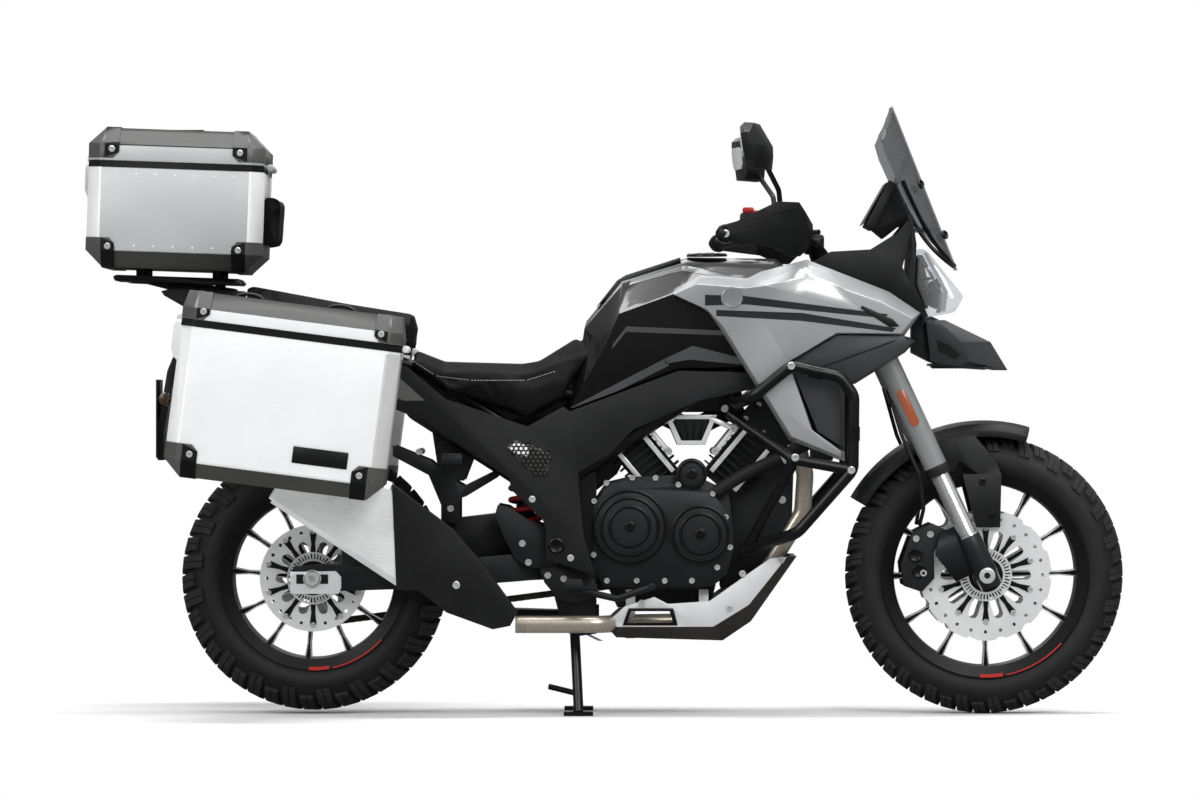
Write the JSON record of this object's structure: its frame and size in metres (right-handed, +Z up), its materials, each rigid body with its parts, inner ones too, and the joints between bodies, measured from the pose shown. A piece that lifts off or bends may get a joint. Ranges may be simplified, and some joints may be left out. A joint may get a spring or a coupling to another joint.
{
  "type": "adventure touring motorcycle with three cases",
  "caption": "Adventure touring motorcycle with a V-twin engine, crash bars, skid plate, hand guards, side cases and a top case, on its centre stand.",
  "frame": {"origin": "on the floor, at the middle of the footprint box, on the bike's middle plane", "axes": "+X forward, +Y to the rider's left, +Z up"},
  "size_m": [2.4274, 0.98, 1.417],
  "materials": {
    "tyre": "satin",
    "black_wheel": "gloss",
    "disc_steel": "brushed",
    "black_aluminium": "satin",
    "bright_aluminium": "satin",
    "black_plastic": "matte",
    "grey_paint": "gloss",
    "silver_plastic": "metallic",
    "black_steel": "satin",
    "brushed_silver": "brushed",
    "bronze_steel": "heat stained",
    "smoked_glass": "clear smoked",
    "lamp_glass": "clear",
    "seat_cover": "matte",
    "hose_rubber": "matte",
    "chain_steel": "oiled"
  },
  "bodies": {
    "frame": {"main_frame": "black_steel", "engine_case": "black_aluminium", "engine_cylinders": "black_aluminium", "engine_covers": "black_aluminium", "swing_arm": "bright_aluminium", "chain": "chain_steel", "shock": "black_steel", "radiator": "black_aluminium", "exhaust_pipes": "bronze_steel", "muffler": "brushed_silver", "heat_shield": "black_steel", "skid_plate": "bright_aluminium", "crash_bars": "black_steel", "fuel_tank": "grey_paint", "seat": "seat_cover", "side_panels": "silver_plastic", "lower_fairings": "black_plastic", "side_covers": "black_plastic", "cockpit_cowl": "black_plastic", "lamps": "lamp_glass", "windscreen": "smoked_glass", "beak": "silver_plastic", "tail_unit": "black_plastic", "pannier_boxes": "bright_aluminium", "top_case": "bright_aluminium", "backrest": "seat_cover", "luggage_rack": "black_steel", "foot_controls": "black_aluminium", "rear_hugger": "black_plastic"},
    "steering": {"fork_upper": "black_aluminium", "fork_legs": "bright_aluminium", "front_calipers": "black_aluminium", "front_fender": "black_plastic", "handlebar": "black_aluminium", "hand_guards": "black_plastic", "mirrors": "black_plastic", "brake_hoses": "hose_rubber"},
    "front_wheel": {"front_tyre": "tyre", "front_rim": "black_wheel", "front_discs": "disc_steel"},
    "rear_wheel": {"rear_tyre": "tyre", "rear_rim": "black_wheel", "rear_disc_sprocket": "disc_steel"},
    "centre_stand": {"centre_stand": "black_steel"},
    "side_stand": {"side_stand": "black_steel"},
    "top_case_lid": {"top_case_lid": "bright_aluminium"},
    "pannier_lid_right": {"pannier_lid_right": "bright_aluminium"},
    "pannier_lid_left": {"pannier_lid_left": "bright_aluminium"}
  },
  "joints": [
    {"name": "steering", "type": "hinge", "parent": "frame", "child": "steering", "pos_m": [0.86175, 0, 0.3081], "axis": [-0.4226, 0, 0.9063], "range_deg": [-32, 32]},
    {"name": "front_wheel_spin", "type": "hinge", "parent": "steering", "child": "front_wheel", "pos_m": [0.898, 0, 0.325], "axis": [0, 1, 0], "continuous": true},
    {"name": "rear_wheel_spin", "type": "hinge", "parent": "frame", "child": "rear_wheel", "pos_m": [-0.667, 0, 0.318], "axis": [0, 1, 0], "continuous": true},
    {"name": "centre_stand_fold", "type": "hinge", "parent": "frame", "child": "centre_stand", "pos_m": [-0.06, 0, 0.205], "axis": [0, 1, 0], "range_deg": [0, 81]},
    {"name": "side_stand_swing", "type": "hinge", "parent": "frame", "child": "side_stand", "pos_m": [-0.03, 0.17, 0.225], "axis": [0, -0.9291, -0.3697], "range_deg": [0, 100]},
    {"name": "top_case_lid_hinge", "type": "hinge", "parent": "frame", "child": "top_case_lid", "pos_m": [-0.76797, 0, 1.27256], "axis": [0, 1, 0], "range_deg": [0, 85]},
    {"name": "right_case_lid_hinge", "type": "hinge", "parent": "frame", "child": "pannier_lid_right", "pos_m": [-0.44232, -0.3615, 0.84783], "axis": [0, 1, 0], "range_deg": [0, 85]},
    {"name": "left_case_lid_hinge", "type": "hinge", "parent": "frame", "child": "pannier_lid_left", "pos_m": [-0.44232, 0.3615, 0.84783], "axis": [0, 1, 0], "range_deg": [0, 85]}
  ]
}
